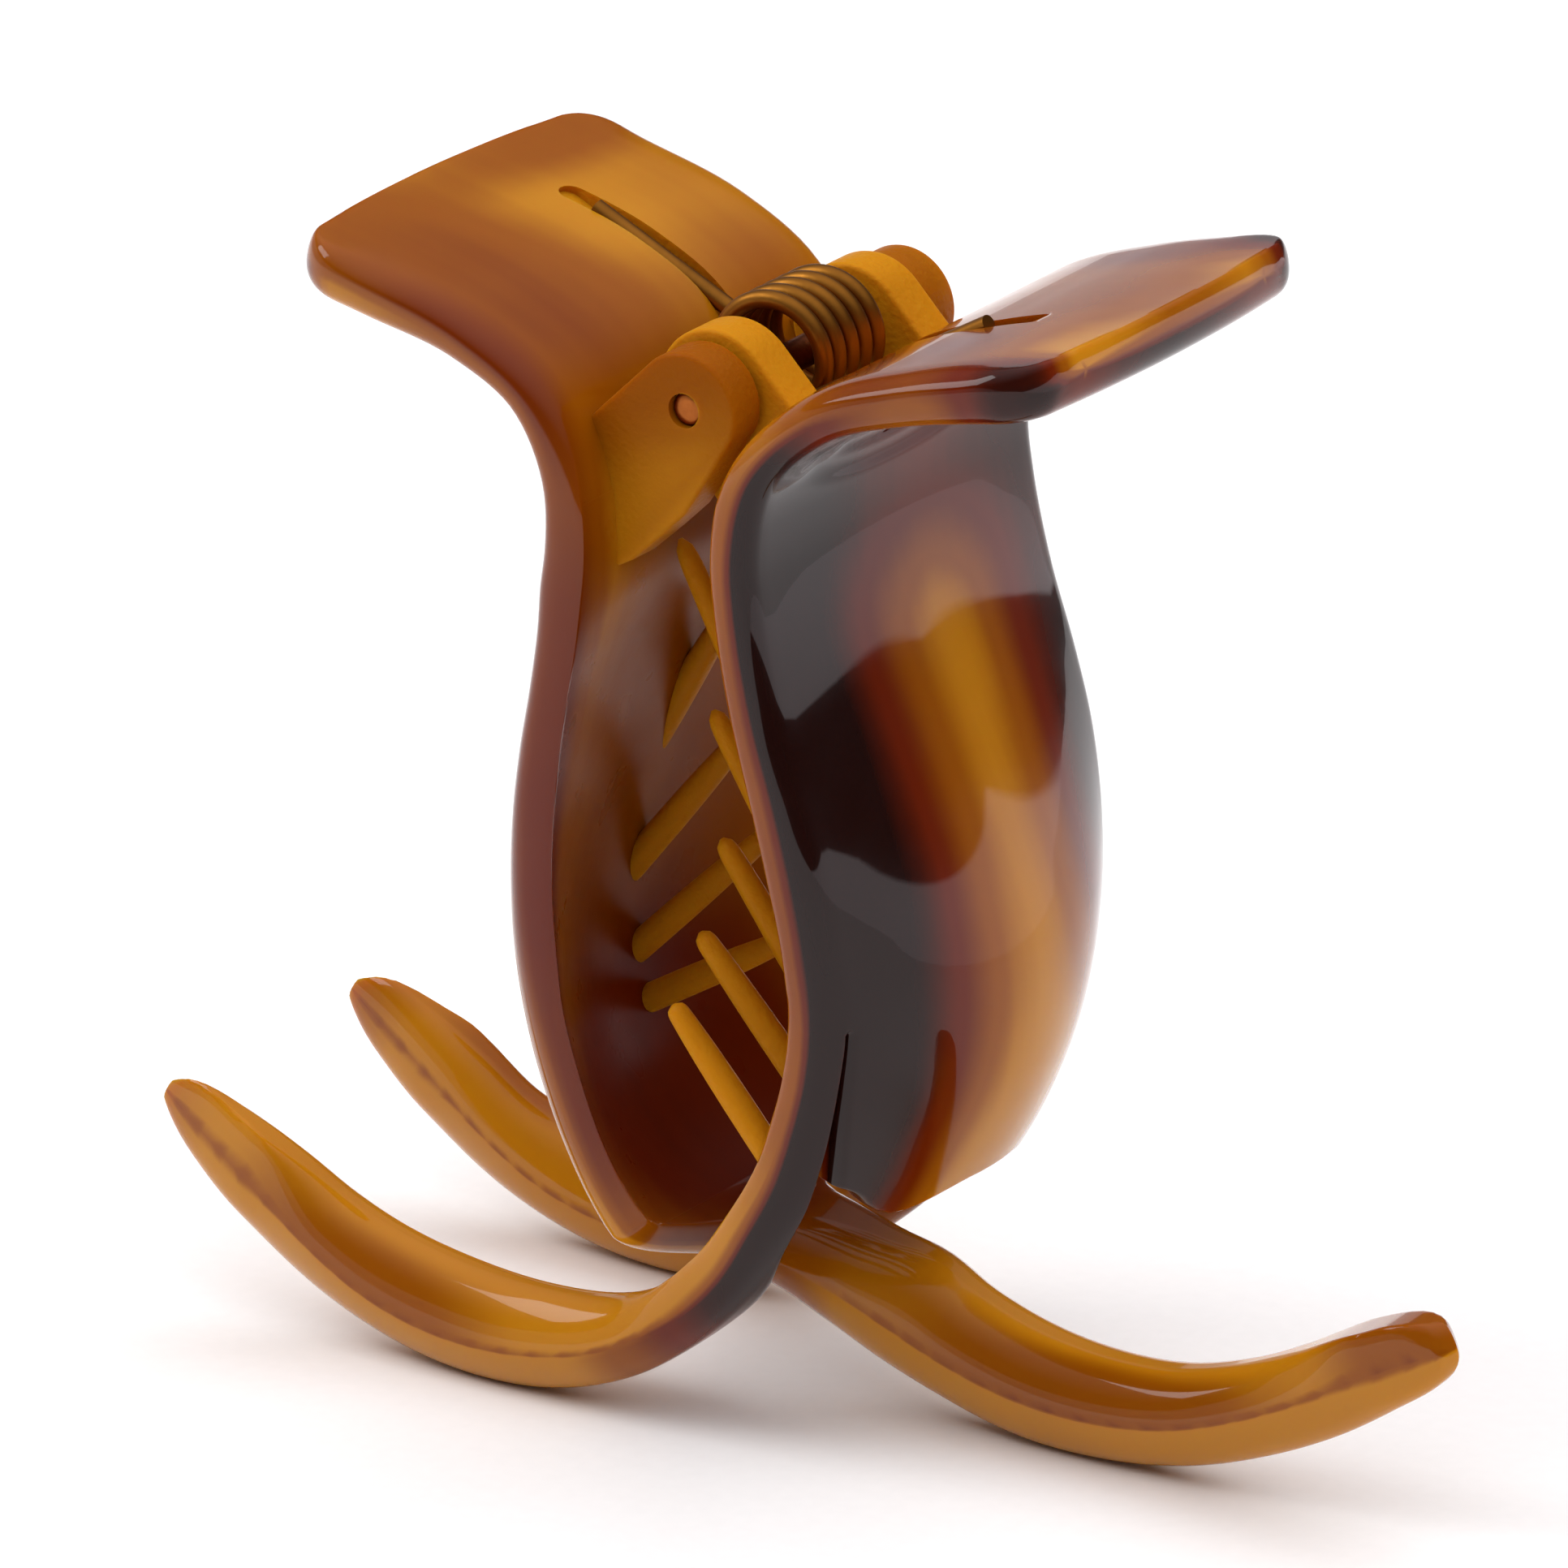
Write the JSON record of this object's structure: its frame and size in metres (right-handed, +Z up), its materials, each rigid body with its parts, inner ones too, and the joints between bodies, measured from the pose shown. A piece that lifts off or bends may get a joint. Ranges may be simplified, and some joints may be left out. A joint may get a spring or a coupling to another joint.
{
  "type": "hair claw clip",
  "caption": "Large claw clip for hair: sprung jaws on a hinge pin, wide squeeze handles, bowl-shaped shells with inner pegs, and long curved prongs that cross at the bottom.",
  "frame": {"origin": "on the surface that the prongs stand on, under the middle of the clip's bounding box", "axes": "+X from the left jaw's handle to the right jaw's handle, along the crossed prongs; +Y along the hinge pin, away from the picture's near side; +Z up"},
  "size_m": [0.0898, 0.034, 0.0769],
  "materials": {
    "left_jaw": "polished translucent tortoiseshell, amber with soft dark brown patches",
    "right_jaw": "polished translucent tortoiseshell, amber with soft dark brown patches",
    "hinge_pin": "cut wire end with a copper tone",
    "torsion_spring": "dark bronze spring wire"
  },
  "bodies": {
    "right_side": {"right_jaw": "right_jaw", "hinge_pin": "hinge_pin", "torsion_spring": "torsion_spring"},
    "left_side": {"left_jaw": "left_jaw"}
  },
  "joints": [
    {"name": "jaw_hinge", "type": "hinge", "parent": "right_side", "child": "left_side", "pos_m": [-0.00334, 0, 0.0686], "axis": [0, 1, 0], "range_deg": [0, 140], "stiffness_Nm_per_rad": 0.12, "springref_deg": -68.75, "deforming": ["torsion_spring"]}
  ]
}
